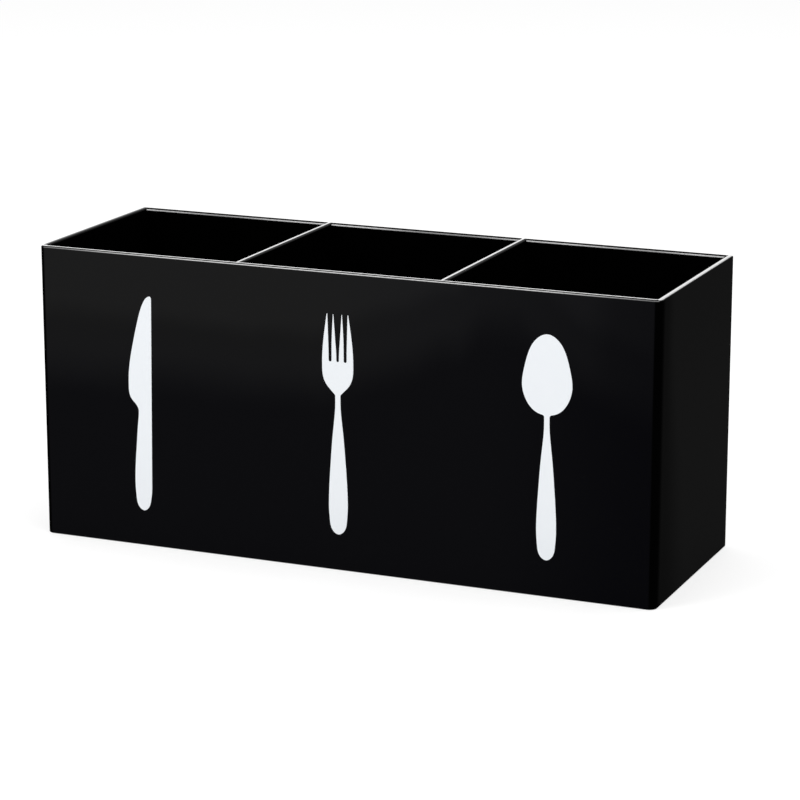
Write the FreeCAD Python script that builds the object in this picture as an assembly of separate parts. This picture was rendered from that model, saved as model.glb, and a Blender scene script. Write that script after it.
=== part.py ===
# Cutlery dispenser: an open-topped box of glossy black acrylic sheet with three equal compartments,
# each marked on the front by a white vinyl pictogram of a knife, a fork or a spoon.
# One sheet is bent round the front corners to make the front and both ends. A flat back and a flat
# base are welded inside it, and the dividers drop into slots in the back from above.
# Millimetres. +Z is up and the front faces -Y. The origin is on the resting plane, under the
# middle of the box.

import FreeCAD, Part
import os

V = FreeCAD.Vector

# Box, over the outside of its sheets
width = 280.0
depth = 97.0
height = 128.0

# Acrylic sheet, its bends and its polished edges
wall_sheet = 3.0
base_sheet = 3.0
divider_sheet = 3.0
bend_inside_radius = 0.5
base_corner_relief = 0.3
rim_round = 0.6
foot_round = 0.4

# Dividers, and the slots in the back that their tails stand in
divider_names = ("divider_left", "divider_right")
slot_depth = 62.0
slot_clearance = 0.1

# Vinyl pictograms on the front, set by hand a little right of each compartment's middle
vinyl = 0.15
margin_below = 15.7
margin_above = 17.7
right_of_middle = (0.35, 0.35, 0.48)
spoon_tilt = 0.3

# The pictograms are drawn upright on their middle line, from the end of the handle at 0 up to this
drawn_height = 94.6

# Handle of the fork and the spoon: distances from the middle line and heights
handle_end = ((2.65, 1.65), (3.9, 6.1))
handle_widest = (4.3, 12.8)
handle_side = ((3.47, 30.0), (2.2, 45.0))
neck = (1.15, 57.3)
neck_round = 1.1

# Heads of the fork and the spoon, from their widest height to the top and to the bottom
head_widest_height = 73.8
spoon_half_width = 10.8
spoon_taper = ((10.08, 79.3), (8.25, 86.2), (5.3, 91.7))
spoon_shoulder = ((9.2, 67.2), (5.1, 62.4))
spoon_bottom_height = 61.05
fork_half_width = 7.03
fork_middle_half_width = 6.33
fork_tip_half_width = 4.85
fork_shoulder = ((6.72, 68.3), (5.88, 65.8), (4.02, 63.2))
fork_bottom_height = 59.1

# Gaps between the fork's tines: distances from the middle line at the bottom, midway and at the tips
gap_bottom_height = 74.4
gap_middle_height = 84.2
middle_gap_side = (0.6, 1.12, 1.87)
outer_gap_near_side = (2.72, 2.63, 2.03)
outer_gap_far_side = (4.1, 4.27, 4.6)

# Knife: distances right of the middle line and heights
spine_top = (5.88, 92.9)
blade_point = 5.2
blade_edge = ((1.78, 91.2), (-0.35, 85.2), (-3.3, 73.2))
blade_belly = (-5.58, 57.0)
blade_heel = ((-4.5, 49.45), (-2.0, 46.6))
notch = (-1.02, 44.0)
grip = ((-1.5, 38.5), (-2.16, 31.2), (-3.13, 19.6))
grip_widest = (-3.36, 12.6)
grip_left_end = ((-2.95, 5.6), (-1.86, 1.6))
grip_end = 0.65
grip_right_end = ((3.0, 1.65), (3.93, 4.4))
spine_foot = (4.6, 10.5)

# How far an edge may lie from where it is looked for
edge_tolerance = 1e-4

# Places worked out from the sizes above
bend_outside_radius = bend_inside_radius + wall_sheet
inner_width = width - 2 * wall_sheet
front_outer_y = -depth / 2
front_inner_y = front_outer_y + wall_sheet
back_outer_y = depth / 2
back_inner_y = back_outer_y - wall_sheet
slot_floor = height - slot_depth
compartment_count = len(divider_names) + 1
compartment = (inner_width - len(divider_names) * divider_sheet) / compartment_count
compartment_pitch = compartment + divider_sheet
pictogram_scale = (height - margin_below - margin_above) / drawn_height


def compartment_x(index):
    """Middle of a compartment, counted from the left."""
    return (index - (compartment_count - 1) / 2) * compartment_pitch


def divider_x(index):
    """Middle of a divider, counted from the left."""
    return compartment_x(index) + compartment_pitch / 2


def lies_at(edge, x=None, y=None, z=None):
    """True where the whole edge lies at each coordinate given."""
    box = edge.BoundBox
    spans = ((x, box.XMin, box.XMax), (y, box.YMin, box.YMax), (z, box.ZMin, box.ZMax))
    return all(
        at is None or max(abs(low - at), abs(high - at)) < edge_tolerance for at, low, high in spans
    )


def rounded(solid, radius, places):
    """The solid with the edges that lie at any of the places rounded."""
    edges = [edge for edge in solid.Edges if any(lies_at(edge, **place) for place in places)]
    return solid.makeFillet(radius, edges)


# Front and ends, one bent sheet

def bent_block(inset, back_y):
    """Block bounded by the bent sheet's outline drawn in by an inset, with its two front bends."""
    x = width / 2 - inset
    y = front_outer_y + inset
    block = Part.makeBox(2 * x, back_y - y, height, V(-x, y, 0))
    return rounded(block, bend_outside_radius - inset, [{"x": -x, "y": y}, {"x": x, "y": y}])


def front_and_ends():
    """The bent sheet, with its rim and its back corners polished round."""
    sheet = bent_block(0, back_outer_y).cut(bent_block(wall_sheet, back_outer_y + wall_sheet))
    back_corners = [{"x": side * width / 2, "y": back_outer_y} for side in (-1, 1)]
    sheet = rounded(sheet, rim_round, back_corners + [{"z": height}])
    return rounded(sheet, foot_round, [{"z": 0}])


# Back, between the ends

def back_panel():
    """The back, slotted from the rim for the dividers' tails."""
    panel = Part.makeBox(inner_width, wall_sheet, height, V(-inner_width / 2, back_inner_y, 0))
    faces = (back_inner_y, back_outer_y)
    panel = rounded(panel, rim_round, [{"y": y, "z": height} for y in faces])
    panel = rounded(panel, foot_round, [{"y": y, "z": 0} for y in faces])
    slot_width = divider_sheet + 2 * slot_clearance
    for index in range(len(divider_names)):
        corner = V(divider_x(index) - slot_width / 2, back_inner_y, slot_floor)
        panel = panel.cut(Part.makeBox(slot_width, wall_sheet, slot_depth, corner))
    return panel


# Base, between the walls

def base_panel():
    """The base, with its front corners relieved to clear the bends."""
    x = inner_width / 2
    panel = Part.makeBox(2 * x, back_inner_y - front_inner_y, base_sheet, V(-x, front_inner_y, 0))
    corners = [{"x": side * x, "y": front_inner_y} for side in (-1, 1)]
    return rounded(panel, bend_inside_radius + base_corner_relief, corners)


# Dividers

def divider(index):
    """A divider: it stands on the base against the front, with its tail through the back's slot."""
    left = divider_x(index) - divider_sheet / 2
    tail_bottom = slot_floor + slot_clearance
    outline = [
        V(left, front_inner_y, base_sheet),
        V(left, back_inner_y, base_sheet),
        V(left, back_inner_y, tail_bottom),
        V(left, back_outer_y, tail_bottom),
        V(left, back_outer_y, height),
        V(left, front_inner_y, height),
    ]
    sheet = Part.Face(Part.makePolygon(outline + outline[:1])).extrude(V(divider_sheet, 0, 0))
    top_edges = [{"x": left, "z": height}, {"x": left + divider_sheet, "z": height}]
    return rounded(sheet, rim_round, top_edges + [{"y": back_outer_y, "z": height}])


# Pictograms, drawn flat on the front's face

def on_front(point):
    """A point of a pictogram's drawing, at its place on the front."""
    x, z = point
    return V(x * pictogram_scale, front_outer_y, margin_below + z * pictogram_scale)


def curve(points, start, end):
    """A smooth line through the points, with the directions that it starts and ends in."""
    line = Part.BSplineCurve()
    line.interpolate(
        Points=[on_front(point) for point in points],
        InitialTangent=V(start[0], 0, start[1]).normalize(),
        FinalTangent=V(end[0], 0, end[1]).normalize(),
        Scale=False,
    )
    return line.toShape()


def straight(start, end):
    return Part.LineSegment(on_front(start), on_front(end)).toShape()


def both_sides(edges):
    return edges + [edge.mirror(V(0, 0, 0), V(1, 0, 0)) for edge in edges]


def cut_vinyl(edges):
    """Vinyl cut along a closed line of edges."""
    outline = Part.Wire(Part.__sortEdges__(edges))
    return Part.Face(outline).extrude(V(0, -vinyl, 0))


def handle():
    """Handle of the fork and the spoon, with a neck that reaches up into the head."""
    neck_top = (neck[0], head_widest_height)
    sides = both_sides([
        curve([(0, 0), *handle_end, handle_widest], (1, 0), (0, 1)),
        curve([handle_widest, *handle_side, neck], (0, 1), (0, 1)),
        straight(neck, neck_top),
    ])
    return cut_vinyl(sides + [straight((-neck_top[0], neck_top[1]), neck_top)])


def with_handle(head):
    """A head on its handle, with the corners between them rounded."""
    whole = head.fuse(handle()).removeSplitter()
    corners = [edge for edge in whole.Edges if is_neck_corner(edge)]
    return whole.makeFillet(neck_round * pictogram_scale, corners)


def is_neck_corner(edge):
    """True for an edge where a side of the neck runs into the head."""
    x = neck[0] * pictogram_scale
    above_neck = edge.BoundBox.ZMin > on_front(neck).z + edge_tolerance
    return above_neck and (lies_at(edge, x=x) or lies_at(edge, x=-x))


def spoon():
    widest = (spoon_half_width, head_widest_height)
    bowl = cut_vinyl(both_sides([
        curve([widest, *spoon_taper, (0, drawn_height)], (0, 1), (-1, 0)),
        curve([widest, *spoon_shoulder, (0, spoon_bottom_height)], (0, -1), (-1, 0)),
    ]))
    middle = on_front((0, drawn_height / 2))
    return with_handle(bowl).rotated(middle, V(0, 1, 0), -spoon_tilt)


def fork():
    widest = (fork_half_width, head_widest_height)
    midway = (fork_middle_half_width, gap_middle_height)
    tip = (fork_tip_half_width, drawn_height)
    lean = (tip[0] - midway[0], tip[1] - midway[1])
    shoulder_end = fork_shoulder[-1]
    bottom = (0, fork_bottom_height)
    slope = (bottom[0] - shoulder_end[0], bottom[1] - shoulder_end[1])
    sides = both_sides([
        curve([widest, midway, tip], (0, 1), lean),
        curve([widest, *fork_shoulder], (0, -1), slope),
        straight(shoulder_end, bottom),
    ])
    head = cut_vinyl(sides + [straight((-tip[0], tip[1]), tip)])
    middle_left = [-x for x in middle_gap_side]
    outer_right = tine_gap(outer_gap_near_side, outer_gap_far_side)
    outer_left = outer_right.mirror(V(0, 0, 0), V(1, 0, 0))
    head = head.cut([tine_gap(middle_left, middle_gap_side), outer_right, outer_left])
    return with_handle(head)


def tine_gap(left, right):
    """The gap between two tines, open above the tips and round at its bottom."""
    radius = (right[0] - left[0]) / 2
    centre = gap_bottom_height + radius
    above = drawn_height + radius
    heights = (centre, gap_middle_height, drawn_height)

    def side(xs):
        rise = (xs[2] - xs[1], heights[2] - heights[1])
        return curve(list(zip(xs, heights)), (0, 1), rise)

    floor = Part.Arc(
        on_front((left[0], centre)),
        on_front((left[0] + radius, gap_bottom_height)),
        on_front((right[0], centre)),
    )
    return cut_vinyl([
        floor.toShape(),
        side(left),
        side(right),
        straight((left[2], drawn_height), (left[2], above)),
        straight((left[2], above), (right[2], above)),
        straight((right[2], above), (right[2], drawn_height)),
    ])


def knife():
    point = (blade_point, drawn_height)
    end = (grip_end, 0)
    spine = (spine_top[0] - spine_foot[0], spine_top[1] - spine_foot[1])
    return cut_vinyl([
        straight(spine_foot, spine_top),
        curve([spine_top, point], spine, (-1, 0)),
        curve([point, *blade_edge, blade_belly], (-1, 0), (0, -1)),
        curve([blade_belly, *blade_heel, notch], (0, -1), (0, -1)),
        curve([notch, *grip, grip_widest], (0, -1), (0, -1)),
        curve([grip_widest, *grip_left_end, end], (0, -1), (1, 0)),
        curve([end, *grip_right_end, spine_foot], (1, 0), spine),
    ])


# Pieces

def in_compartment(sticker, index):
    return sticker.translated(V(compartment_x(index) + right_of_middle[index], 0, 0))


pieces = {
    "front_and_ends": front_and_ends(),
    "back_panel": back_panel(),
    "base_panel": base_panel(),
    "knife_decal": in_compartment(knife(), 0),
    "fork_decal": in_compartment(fork(), 1),
    "spoon_decal": in_compartment(spoon(), 2),
}
for number, name in enumerate(divider_names):
    pieces[name] = divider(number)

os.makedirs("parts", exist_ok=True)
for name, shape in pieces.items():
    shape.exportStep(f"parts/{name}.step")
    print(name, shape.isValid(), len(shape.Solids), round(shape.Volume, 3))
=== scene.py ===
import math

import bpy
from mathutils import Matrix, Vector


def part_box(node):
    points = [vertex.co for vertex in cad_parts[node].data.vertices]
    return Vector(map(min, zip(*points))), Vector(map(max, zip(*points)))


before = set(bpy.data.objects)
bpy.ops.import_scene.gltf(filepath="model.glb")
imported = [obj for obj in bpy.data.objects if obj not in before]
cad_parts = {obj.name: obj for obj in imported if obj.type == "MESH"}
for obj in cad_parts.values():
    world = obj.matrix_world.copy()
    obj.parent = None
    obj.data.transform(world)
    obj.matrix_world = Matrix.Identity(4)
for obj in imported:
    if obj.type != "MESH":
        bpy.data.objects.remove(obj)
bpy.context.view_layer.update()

ACRYLIC_NODES = ("front_and_ends", "back_panel", "base_panel", "divider_left", "divider_right")
VINYL_NODES = ("knife_decal", "fork_decal", "spoon_decal")

# All lengths and places are in metres

# Sizes read from the frame
HALF_WIDTH, HALF_DEPTH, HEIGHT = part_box("front_and_ends")[1]
BASE_HALF_WIDTH, _, BASE_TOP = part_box("base_panel")[1]
WALL = HALF_WIDTH - BASE_HALF_WIDTH
DIVIDER_X = sum(corner.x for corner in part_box("divider_right")) / 2

# Sizes of the CAD pieces that their boxes don't give
RIM_ROUND = 0.0006
BEND_RADIUS = 0.0035
SLOT_FLOOR = 0.066


# Node building

class Tree:
    """A node tree under construction. Inputs are numbers, colours or the outputs of other nodes."""

    def __init__(self, tree):
        self.tree = tree
        tree.nodes.clear()

    def add(self, kind, inputs=None, **settings):
        made = self.tree.nodes.new(kind)
        for name, value in settings.items():
            setattr(made, name, value)
        for name, value in (inputs or {}).items():
            socket = made.inputs[name]
            if isinstance(value, bpy.types.NodeSocket):
                self.tree.links.new(value, socket)
            else:
                socket.default_value = value
        return made

    def math(self, operation, *values):
        return self.add("ShaderNodeMath", dict(enumerate(values)), operation=operation).outputs[0]

    def plus(self, first, second):
        return self.math("ADD", first, second)

    def minus(self, first, second):
        return self.math("SUBTRACT", first, second)

    def times(self, first, second):
        return self.math("MULTIPLY", first, second)

    def larger(self, first, second):
        return self.math("MAXIMUM", first, second)

    def smaller(self, first, second):
        return self.math("MINIMUM", first, second)

    def absolute(self, value):
        """A number without its sign."""
        return self.math("ABSOLUTE", value)

    def apart(self, first, second):
        """How far two numbers are from each other."""
        return self.absolute(self.minus(first, second))

    def remainder(self, share):
        """What a share leaves of 1."""
        return self.minus(1.0, share)

    def above(self, value, limit):
        """1 where a number is above a limit, else 0."""
        return self.math("GREATER_THAN", self.minus(value, limit), 0.0)

    def below(self, value, limit):
        """1 where a number is below a limit, else 0."""
        return self.math("GREATER_THAN", self.minus(limit, value), 0.0)

    def ramp(self, value, start, end, low=0.0, high=1.0):
        """Smooth step of a value, from low at start to high at end."""
        inputs = {"Value": value, "From Min": start, "From Max": end, "To Min": low, "To Max": high}
        return self.add("ShaderNodeMapRange", inputs, interpolation_type="SMOOTHSTEP").outputs["Result"]

    def profile(self, value, stops):
        """A number read off straight lines between (place, number) stops, evenly held past both ends."""
        first, last = stops[0][0], stops[-1][0]
        along = self.add("ShaderNodeMapRange", {"Value": value, "From Min": first, "From Max": last})
        line = self.add("ShaderNodeValToRGB", {0: along.outputs["Result"]})
        marks = line.color_ramp.elements
        while len(marks) < len(stops):
            marks.new(1.0)
        for mark, (place, level) in zip(marks, stops):
            mark.position = (place - first) / (last - first)
            mark.color = grey(level)
        return line.outputs[0]

    def pick(self, factor, first, second):
        """Number between two, by a factor."""
        return self.add("ShaderNodeMix", {0: factor, 2: first, 3: second}).outputs[0]

    def blend(self, factor, first, second):
        """Colour between two, by a factor."""
        inputs = {0: factor, 6: first, 7: second}
        return self.add("ShaderNodeMix", inputs, data_type="RGBA", clamp_factor=True).outputs[2]

    def colour(self, red, green, blue):
        return self.add("ShaderNodeCombineColor", {0: red, 1: green, 2: blue}).outputs[0]

    def parts(self, vector):
        return self.add("ShaderNodeSeparateXYZ", {0: vector}).outputs

    def place(self):
        """The shaded point's coordinates in its object, which are the frame's."""
        return self.add("ShaderNodeTexCoord").outputs["Object"]

    def noise(self, scale, detail, stretch=(1, 1, 1)):
        """Noise over the object, near a half, with so many features a metre."""
        mapped = self.add("ShaderNodeMapping", {"Vector": self.place(), "Scale": stretch}).outputs[0]
        inputs = {"Vector": mapped, "Scale": scale, "Detail": detail}
        return self.add("ShaderNodeTexNoise", inputs).outputs[0]

    def pattern(self, noise, ramp):
        """A noise turned into levels: both are given as the numbers that they take."""
        return self.ramp(self.noise(*noise), *ramp)

    def wander(self, reach, noise):
        """A number that wanders over the object to either side of nothing, by up to a reach."""
        return self.math("MULTIPLY_ADD", self.noise(*noise), 2 * reach, -reach)

    def bump(self, strength, distance, height):
        inputs = {"Strength": strength, "Distance": distance, "Height": height}
        return self.add("ShaderNodeBump", inputs).outputs[0]


def new_material(name):
    material = bpy.data.materials.new(name)
    material.use_nodes = True
    return material, Tree(material.node_tree)


def grey(level):
    return (level, level, level, 1.0)


# Acrylic

# A noise is given as features a metre, octaves and, where it is drawn out, its scale along x, y and z.
# A ramp is given as where it starts and ends, and its level at each.

# How close the normal's part along an axis comes to 1 where the surface faces along that axis
FACES_X = (0.7, 0.95)
FACES_Y = (0.5, 0.9)
IS_FLAT = (0.94, 0.999)


class Point:
    """The shaded point: its coordinates, its normal and which way it faces."""

    def __init__(self, t):
        self.x, self.y, self.z = t.parts(t.place())
        self.nx, self.ny, self.nz = t.parts(t.add("ShaderNodeNewGeometry").outputs["Normal"])
        self.side_x = t.absolute(self.x)
        self.side_nx = t.absolute(self.nx)
        self.upright = t.larger(self.side_nx, t.absolute(self.ny))
        self.faces_end = t.ramp(self.side_nx, *FACES_X)
        self.faces_back = t.ramp(self.ny, *FACES_Y)
        self.faces_front = t.ramp(self.ny, *(-limit for limit in FACES_Y))
        self.between_ends = t.below(self.side_x, HALF_WIDTH - WALL)


# The rim's painted highlights: how light each wall's rim is painted from its inner side across to its outer
# one
FRONT_RIM_HIGHLIGHT = (
    (0.0, 0.88), (0.0012, 0.88), (0.00135, 0.01), (0.00275, 0.01),
    (0.00281, 0.52), (0.00299, 0.52), (WALL, 0.3),
)
RIGHT_RIM_HIGHLIGHT = (
    (0.0, 0.002), (0.0008, 0.002), (0.0011, 0.66), (0.0015, 0.66),
    (0.0017, 0.52), (0.0024, 0.50), (0.0028, 0.02), (WALL, 0.002),
)
LEFT_RIM_HIGHLIGHT = ((0.0, 0.006), (0.0006, 0.02), (0.0012, 0.05), (0.0018, 0.14), (0.0024, 0.35), (WALL, 0.75))

# How light a divider's rim is painted from its left side across, and the painted highlight on the back's
# inner arris from the rim down
DIVIDER_RIM_HIGHLIGHT = ((0.0, 0.3), (0.0002, 0.64), (0.0014, 0.64), (0.00165, 0.04), (0.0026, 0.03), (WALL, 0.003))
BACK_ARRIS_HIGHLIGHT = ((0.0, 0.004), (0.00022, 0.004), (0.00030, 0.6), (0.00072, 0.6), (0.00082, 0.004))
BACK_ARRIS_HIGHLIGHT_DEPTH = 0.0009

# Just in front of the back's inner face
BACK_START = HALF_DEPTH - WALL - 0.0001

# Where the front's outer painted highlight line starts across the rim, and how much of it is lost towards
# the ends
OUTER_HIGHLIGHT = (0.0026, 0.0028)
OUTER_HIGHLIGHT_LOSS = (0.08, 0.14, 0.0, 0.75)

# Where the front's painted highlight lines give way to an end's, from the inner face and from the bend's
# diagonal
LEFT_CORNER = (0.0, -0.0003)
RIGHT_CORNER = (-0.0004, 0.0004)

# Which part of the walls is the rim, by height and by how far it faces up
RIM_HEIGHT = (HEIGHT - RIM_ROUND * 1.1, HEIGHT - RIM_ROUND * 0.9)
RIM_SLOPE = (0.12, 0.24)

# Fine marks across the rim, and brighter patches in the painted highlight along the back's inner arris
RIM_MARKS = (700.0, 2.0, (1, 1, 0.1)), (0.25, 0.75, 0.85, 1.05)
ARRIS_HIGHLIGHT_PATCHES = (14.0, 1.0), (0.35, 0.65, 0.5, 1.3)


def sheet_rim_highlight(t, at):
    """How light the bent sheet's rim is painted, in highlight lines. The front's lines turn with the right
    bend and cross the left.
    """
    front_y = t.times(at.y, -1.0)
    past_x = t.larger(t.minus(at.side_x, HALF_WIDTH - BEND_RADIUS), 0.0)
    past_y = t.larger(t.minus(front_y, HALF_DEPTH - BEND_RADIUS), 0.0)
    from_centre = t.math("SQRT", t.plus(t.times(past_x, past_x), t.times(past_y, past_y)))
    across = t.minus(from_centre, BEND_RADIUS - WALL)

    is_right = t.above(at.x, 0.0)
    into_front = t.minus(front_y, HALF_DEPTH - WALL)
    past_left_corner = t.ramp(into_front, *LEFT_CORNER)
    past_right_corner = t.ramp(t.minus(past_x, past_y), *RIGHT_CORNER)
    on_end = t.pick(is_right, past_left_corner, past_right_corner)

    across_front = t.pick(is_right, into_front, across)
    lost = t.times(t.ramp(across_front, *OUTER_HIGHLIGHT), t.ramp(at.side_x, *OUTER_HIGHLIGHT_LOSS))
    front = t.times(t.profile(across_front, FRONT_RIM_HIGHLIGHT), t.remainder(lost))
    end = t.pick(is_right, t.profile(across, LEFT_RIM_HIGHLIGHT), t.profile(across, RIGHT_RIM_HIGHLIGHT))
    return t.pick(on_end, front, end)


def rim_highlight_level(t, at):
    """How light the rim is painted: painted highlights on its cut edges and thin bright arrises, with fine
    marks across them.
    """
    # The back's inner arris gets a painted highlight line, in brighter patches
    arris = t.times(t.profile(t.minus(HEIGHT, at.z), BACK_ARRIS_HIGHLIGHT), t.pattern(*ARRIS_HIGHLIGHT_PATCHES))
    on_back = t.times(t.above(at.y, BACK_START), at.between_ends)
    level = t.pick(on_back, sheet_rim_highlight(t, at), arris)

    from_left = t.times(t.math("SIGN", at.x), t.minus(at.side_x, DIVIDER_X))
    from_left = t.plus(from_left, WALL / 2)
    on_divider = t.times(t.above(from_left, 0.0), t.below(from_left, WALL))
    on_divider = t.times(on_divider, t.above(at.y, WALL - HALF_DEPTH))
    level = t.pick(on_divider, level, t.profile(from_left, DIVIDER_RIM_HIGHLIGHT))
    return t.times(level, t.pattern(*RIM_MARKS))


def rim_share(t, at, arris):
    """1 on the rim, apart from the back's outer arris, and on its inner arris below the rim, where the
    painted rim highlights go. Else 0.
    """
    top = t.times(t.ramp(at.z, *RIM_HEIGHT), t.ramp(at.nz, *RIM_SLOPE))
    top = t.times(top, t.remainder(arris))
    inner_arris = t.times(t.above(at.y, BACK_START), t.below(at.ny, 0.0))
    inner_arris = t.times(inner_arris, t.above(at.z, HEIGHT - BACK_ARRIS_HIGHLIGHT_DEPTH))
    return t.larger(top, t.times(inner_arris, at.between_ends))


# The faces: level of the sheet itself, and of the painted haze of reflected light on its base's faces and on
# what faces no end, front or back
SHEET_LEVEL = 0.0003
BASE_LEVEL = 0.003
OTHER_LEVEL = 0.0004

# How deep under the outer faces their painted haze of reflected light starts, and how deep it is whole
SKIN_START = 0.0012
SKIN_WHOLE = 0.0004

# How high the brighter part of the front's painted haze of reflected light starts, and how bright it is,
# from the middle to the right
PAINTED_HAZE_FOOT = (
    (-0.010, 0.090), (0.014, 0.100), (0.032, 0.106), (0.045, 0.114), (0.053, 0.114),
    (0.062, 0.125), (0.078, 0.126), (0.115, 0.106), (0.135, 0.096),
)
PAINTED_HAZE_LEVEL = (
    (-0.010, 0.0074), (0.045, 0.0066), (0.065, 0.0054), (0.112, 0.0044), (0.121, 0.0026), (0.135, 0.0022),
)

# The painted haze's two steps about that height, and the level of the whole front's painted haze, which
# falls towards the right end
PAINTED_HAZE_STEPS = (-0.026, -0.003, 0.0, 0.58), (0.004, 0.017, 0.0, 0.42)
PAINTED_HAZE_BELOW = (0.06, HALF_WIDTH, 0.0026, 0.0010)
PAINTED_HAZE_WANDER = 0.009, (16.0, 3.0)

# The painted haze's lean to blue on the front, and how much less that is at the upper left
BLUE = 0.0008
BLUE_LOSS = 0.0007
BLUE_LOSS_HEIGHT = (0.07, 0.11)
BLUE_LOSS_SIDE = (0.05, -0.02)

# An end's painted haze of reflected light from the foot up. It is painted darker, and its shine duller, by
# the bend and over the strip heated for the bend, whose width narrows from the foot to the rim.
END_PAINTED_HAZE = ((0.0, 0.0046), (0.128, 0.0036))
BY_BEND = (0.002, 0.0068, 0.12, 1.0)
STRIP_START = 0.008
STRIP_SHARE = 0.6
STRIP_WIDTH = (0.0, HEIGHT, 0.042, 0.018)
STRIP_WANDER = 0.006, (30.0, 2.0)

# The back's painted haze of reflected light from the foot up, its milky weld marks beside a seam, the seam's
# dark line and the marks of the saw on its cut edges
BACK_PAINTED_HAZE = (0.02, 0.115, 0.0042, 0.0085)
BACK_WANDER = 0.04, (13.0, 3.0)
WELD = (0.0, 0.0035, 0.010, 0.0)
WELD_PATCHES = (55.0, 3.0), (0.4, 0.65, 0.1, 1.0)
SEAM = (0.00008, 0.00022, 0.1, 1.0)
SAW_MARKS = (500.0, 2.0, (0.1, 0.1, 1)), (0.3, 0.7, 0.012, 0.024)

# Dust on the outer faces, and scuffs on the base's level faces
DUST = (900.0, 1.0), (0.72, 0.82, 0.0, 0.0015)
SCUFFS = (120.0, 5.0, (1, 0.25, 1)), (0.5, 0.75, 0.0, 0.012)
SCUFF_LIMIT = BASE_TOP + 0.0005
IS_LEVEL = (0.9, 0.99)


def front_painted_haze(t, at):
    """The faint light painted on the front: in two steps from the upper left, and low at the right end."""
    warp = t.wander(*PAINTED_HAZE_WANDER)
    side = t.plus(at.x, warp)
    above_foot = t.minus(t.plus(at.z, warp), t.profile(side, PAINTED_HAZE_FOOT))
    rise = t.plus(*(t.ramp(above_foot, *step) for step in PAINTED_HAZE_STEPS))
    return t.math("MULTIPLY_ADD", rise, t.profile(side, PAINTED_HAZE_LEVEL), t.ramp(at.x, *PAINTED_HAZE_BELOW))


def end_painted_shade_and_gloss(t, at):
    """How light an end's painted haze is, and how much shine it has, as a share of the most: painted darker
    and duller by its bend and over the heated strip.
    """
    from_front = t.plus(at.y, HALF_DEPTH)
    strip_end = t.plus(t.ramp(at.z, *STRIP_WIDTH), t.wander(*STRIP_WANDER))
    strip = t.ramp(from_front, STRIP_START, strip_end, STRIP_SHARE, 1.0)
    return t.times(t.ramp(from_front, *BY_BEND), strip)


def back_painted_haze(t, at):
    """The faint light painted on the back, with thin dark seams, milky weld marks and paler cut edges."""
    from_divider = t.apart(at.side_x, DIVIDER_X)
    above_floor = t.above(at.z, SLOT_FLOOR)
    in_slot = t.below(from_divider, WALL / 2)

    # A metre is added where a seam doesn't run
    by_end = t.apart(at.side_x, HALF_WIDTH - WALL)
    by_slot_side = t.plus(t.apart(from_divider, WALL / 2), t.remainder(above_floor))
    by_slot_floor = t.plus(t.apart(at.z, SLOT_FLOOR), t.remainder(in_slot))
    from_seam = t.smaller(by_end, t.smaller(by_slot_side, by_slot_floor))

    level = t.ramp(t.plus(at.z, t.wander(*BACK_WANDER)), *BACK_PAINTED_HAZE)
    weld = t.times(t.ramp(from_seam, *WELD), t.pattern(*WELD_PATCHES))
    cut_edge = t.larger(t.above(at.side_x, HALF_WIDTH - WALL), t.times(in_slot, above_floor))
    level = t.pick(cut_edge, t.plus(level, weld), t.pattern(*SAW_MARKS))
    return t.times(level, t.ramp(from_seam, *SEAM))


def face_colour(t, at, end_shade_and_gloss):
    """The sheet's colour away from the rim: nearly black, with each outer face's painted haze of reflected
    light, dust and scuffs.
    """
    outer_x = t.ramp(at.side_x, HALF_WIDTH - SKIN_START, HALF_WIDTH - SKIN_WHOLE)
    outer_y = t.ramp(t.absolute(at.y), HALF_DEPTH - SKIN_START, HALF_DEPTH - SKIN_WHOLE)
    outside = t.times(t.larger(outer_x, outer_y), t.ramp(at.upright, *IS_FLAT))

    # Painted haze of reflected light on the ends, front and back, and an even one on the other outer faces
    painted_haze_and_wear = t.pick(at.faces_end, OTHER_LEVEL, t.times(end_shade_and_gloss, t.profile(at.z, END_PAINTED_HAZE)))
    painted_haze_and_wear = t.pick(at.faces_front, painted_haze_and_wear, front_painted_haze(t, at))
    painted_haze_and_wear = t.pick(at.faces_back, painted_haze_and_wear, back_painted_haze(t, at))
    painted_haze_and_wear = t.times(t.plus(painted_haze_and_wear, t.pattern(*DUST)), outside)

    # The base's two faces, scuffed below by the counter and above by cutlery, over an even painted haze
    on_base = t.times(t.below(at.z, SCUFF_LIMIT), t.ramp(t.absolute(at.nz), *IS_LEVEL))
    painted_haze_and_wear = t.plus(painted_haze_and_wear, t.times(on_base, t.plus(t.pattern(*SCUFFS), BASE_LEVEL)))

    upper_left = t.times(t.ramp(at.z, *BLUE_LOSS_HEIGHT), t.ramp(at.x, *BLUE_LOSS_SIDE))
    blue = t.math("MULTIPLY_ADD", upper_left, -BLUE_LOSS, BLUE)
    blue = t.times(t.times(at.faces_front, outside), blue)
    neutral = t.plus(painted_haze_and_wear, SHEET_LEVEL)
    return t.colour(neutral, neutral, t.plus(neutral, blue))


# The back's outer arrises, by how far they face two ways at once, and their painted glints
ARRIS_SLOPE = (0.35, 0.5)
GLINTS = (35.0, 2.0), (0.35, 0.65, 0.05, 0.35)

# Share of real acrylic's shine that the flats have, and the bends, and the ends out of that of the flats
FLAT_GLOSS = 0.0288
BEND_GLOSS = 0.006
END_GLOSS_SHARE = 0.5
COAT_ROUGHNESS = 0.05
COAT_IOR = 1.5

# Roughness under the shine, with fine scratches on the faces, and the sheet's slight ripple
FACE_ROUGHNESS = 0.09
RIM_ROUGHNESS = 0.35
SCRATCHES = (260.0, 4.0, (0.15, 0.15, 3)), (0.45, 0.75, 0.0, 0.05)
RIPPLE = (60.0, 2.0)
RIPPLE_STRENGTH = 0.04
RIPPLE_HEIGHT = 0.0004


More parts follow.
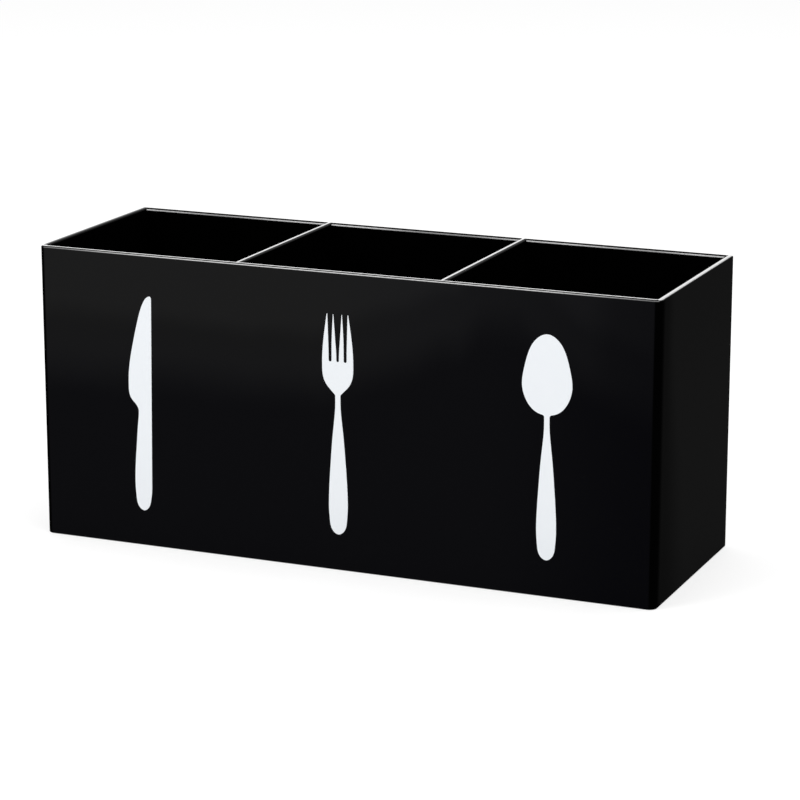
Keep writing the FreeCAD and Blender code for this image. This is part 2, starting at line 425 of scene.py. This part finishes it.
def back_arris(t, at):
    """1 on the polished arrises round the back's outer face, where glints are painted, else 0."""
    slope = t.smaller(at.ny, t.larger(at.side_nx, at.nz))
    return t.times(t.ramp(slope, *ARRIS_SLOPE), t.above(at.y, HALF_DEPTH - RIM_ROUND))


def acrylic_material():
    """Black cast acrylic: deep gloss faces with a faint painted haze of reflected light, darker bends, and
    cut edges at the rim painted pale as highlights.
    """
    material, t = new_material("black_acrylic")
    at = Point(t)
    end_shade_and_gloss = end_painted_shade_and_gloss(t, at)
    arris = back_arris(t, at)
    # Painted glints on the back's outer arrises
    glints = t.pattern(*GLINTS)
    colour = t.blend(arris, face_colour(t, at, end_shade_and_gloss), t.colour(glints, glints, glints))
    rim = rim_share(t, at, arris)
    # Painted highlights on the rim: pale lines that stand in for light caught by its cut edges and arrises
    edge = rim_highlight_level(t, at)
    colour = t.blend(rim, colour, t.colour(edge, edge, edge))

    rounded = t.remainder(t.ramp(t.larger(at.upright, t.absolute(at.nz)), *IS_FLAT))
    gloss = t.pick(at.faces_end, 1.0, t.times(end_shade_and_gloss, END_GLOSS_SHARE))
    surface = t.add("ShaderNodeBsdfPrincipled", {
        "Base Color": colour,
        "Roughness": t.pick(rim, t.plus(t.pattern(*SCRATCHES), FACE_ROUGHNESS), RIM_ROUGHNESS),
        "Normal": t.bump(RIPPLE_STRENGTH, RIPPLE_HEIGHT, t.noise(*RIPPLE)),
        "Specular IOR Level": 0.0,
        "Coat Weight": t.pick(rounded, t.times(gloss, FLAT_GLOSS), BEND_GLOSS),
        "Coat Roughness": COAT_ROUGHNESS,
        "Coat IOR": COAT_IOR,
    })
    t.add("ShaderNodeOutputMaterial", {"Surface": surface.outputs[0]})
    return material


# Vinyl

VINYL_SHADE = (0.842, 0.877, 0.912, 1.0)
VINYL_LIGHT = (0.882, 0.907, 0.937, 1.0)
VINYL_MOTTLE = (40.0, 3.0)
VINYL_ROUGHNESS = (0.3, 0.7, 0.42, 0.5)
VINYL_SPECULAR = 0.3
GRAIN = (2500.0, 2.0)
GRAIN_STRENGTH = 0.1
GRAIN_HEIGHT = 0.00005


def vinyl_material():
    """White satin vinyl, with a fine grain."""
    material, t = new_material("white_vinyl")
    mottle = t.noise(*VINYL_MOTTLE)
    surface = t.add("ShaderNodeBsdfPrincipled", {
        "Base Color": t.blend(mottle, VINYL_SHADE, VINYL_LIGHT),
        "Roughness": t.ramp(mottle, *VINYL_ROUGHNESS),
        "Normal": t.bump(GRAIN_STRENGTH, GRAIN_HEIGHT, t.noise(*GRAIN)),
        "Specular IOR Level": VINYL_SPECULAR,
    })
    t.add("ShaderNodeOutputMaterial", {"Surface": surface.outputs[0]})
    return material


def dress(names, material):
    for name in names:
        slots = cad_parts[name].data.materials
        slots.clear()
        slots.append(material)


dress(ACRYLIC_NODES, acrylic_material())
dress(VINYL_NODES, vinyl_material())


# Stage

# Lamps: name, place, side and power in watts
LAMPS = (
    ("key", (-1.1, -1.3, 1.4), 1.0, 20.5),
    ("overhead", (0.2, 0.3, 1.7), 1.2, 11.5),
    ("fill", (1.5, -0.6, 0.9), 0.9, 7.0),
)

# How much light the surround sends to the object, out of 1 where it is seen
SURROUND_LIGHT = 0.79

# The floor's own grey, the glow that makes it white where it is seen, half its side and its drop
FLOOR_GREY = 0.4
FLOOR_GLOW = 0.6
FLOOR_REACH = 5.0
FLOOR_DROP = 0.0002


def seen_directly(t):
    """1 for what the camera sees straight, in a reflection or through glass."""
    path = t.add("ShaderNodeLightPath").outputs
    seen = t.larger(path["Is Camera Ray"], path["Is Glossy Ray"])
    return t.larger(seen, path["Is Transmission Ray"])


def white_floor():
    """A plain white floor that keeps a soft shadow."""
    material, t = new_material("floor_white")
    diffuse = t.add("ShaderNodeBsdfDiffuse", {"Color": grey(FLOOR_GREY)})
    strength = t.times(seen_directly(t), FLOOR_GLOW)
    glow = t.add("ShaderNodeEmission", {"Color": grey(1.0), "Strength": strength})
    both = t.add("ShaderNodeAddShader", {0: diffuse.outputs[0], 1: glow.outputs[0]})
    t.add("ShaderNodeOutputMaterial", {"Surface": both.outputs[0]})

    mesh = bpy.data.meshes.new("floor")
    corners = [(x * FLOOR_REACH, y * FLOOR_REACH, 0) for x, y in ((-1, -1), (1, -1), (1, 1), (-1, 1))]
    mesh.from_pydata(corners, [], [(0, 1, 2, 3)])
    mesh.materials.append(material)
    floor = bpy.data.objects.new("floor", mesh)
    floor.location.z = -FLOOR_DROP
    bpy.context.scene.collection.objects.link(floor)


def white_surround():
    """An even white surround that lights the object a little less brightly than it is seen."""
    world = bpy.data.worlds.new("studio")
    world.use_nodes = True
    bpy.context.scene.world = world
    t = Tree(world.node_tree)
    strength = t.pick(seen_directly(t), SURROUND_LIGHT, 1.0)
    sky = t.add("ShaderNodeBackground", {"Color": grey(1.0), "Strength": strength})
    t.add("ShaderNodeOutputWorld", {"Surface": sky.outputs[0]})


def softbox(name, place, side, power):
    """A square lamp at a place, aimed at the middle of the box and unseen by the camera."""
    lamp = bpy.data.lights.new(name, "AREA")
    lamp.shape = "SQUARE"
    lamp.size = side
    lamp.energy = power
    made = bpy.data.objects.new(name, lamp)
    made.location = place
    aim = Vector((0, 0, HEIGHT / 2)) - Vector(place)
    made.rotation_euler = aim.to_track_quat("-Z", "Y").to_euler()
    made.visible_camera = False
    bpy.context.scene.collection.objects.link(made)


white_floor()
white_surround()
for settings in LAMPS:
    softbox(*settings)


# Camera, at the photograph's viewing angle

# Where it looks from, how far away it is, its lens in millimetres and the range that it sees
CAMERA_YAW = math.radians(23.03)
CAMERA_PITCH = math.radians(14.38)
CAMERA_DISTANCE = 1.306
CAMERA_LENS = 136.52
CAMERA_NEAR = 0.05
CAMERA_FAR = 20.0

# What it aims at: a height over the origin, then so much to the right and up in the picture
AIM_HEIGHT = 0.060
AIM_RIGHT = 0.00711
AIM_UP = 0.00237


def camera():
    level = math.cos(CAMERA_PITCH)
    ahead = Vector((-math.sin(CAMERA_YAW) * level, math.cos(CAMERA_YAW) * level, -math.sin(CAMERA_PITCH)))
    right = Vector((math.cos(CAMERA_YAW), math.sin(CAMERA_YAW), 0))
    up = right.cross(ahead)
    aim = Vector((0, 0, AIM_HEIGHT)) + right * AIM_RIGHT + up * AIM_UP

    lens = bpy.data.cameras.new("camera")
    lens.lens = CAMERA_LENS
    lens.clip_start = CAMERA_NEAR
    lens.clip_end = CAMERA_FAR
    made = bpy.data.objects.new("camera", lens)
    made.location = aim - ahead * CAMERA_DISTANCE
    made.rotation_euler = Matrix((right, up, -ahead)).transposed().to_euler()
    bpy.context.scene.collection.objects.link(made)
    bpy.context.scene.camera = made


camera()
bpy.context.scene.view_settings.view_transform = "Standard"
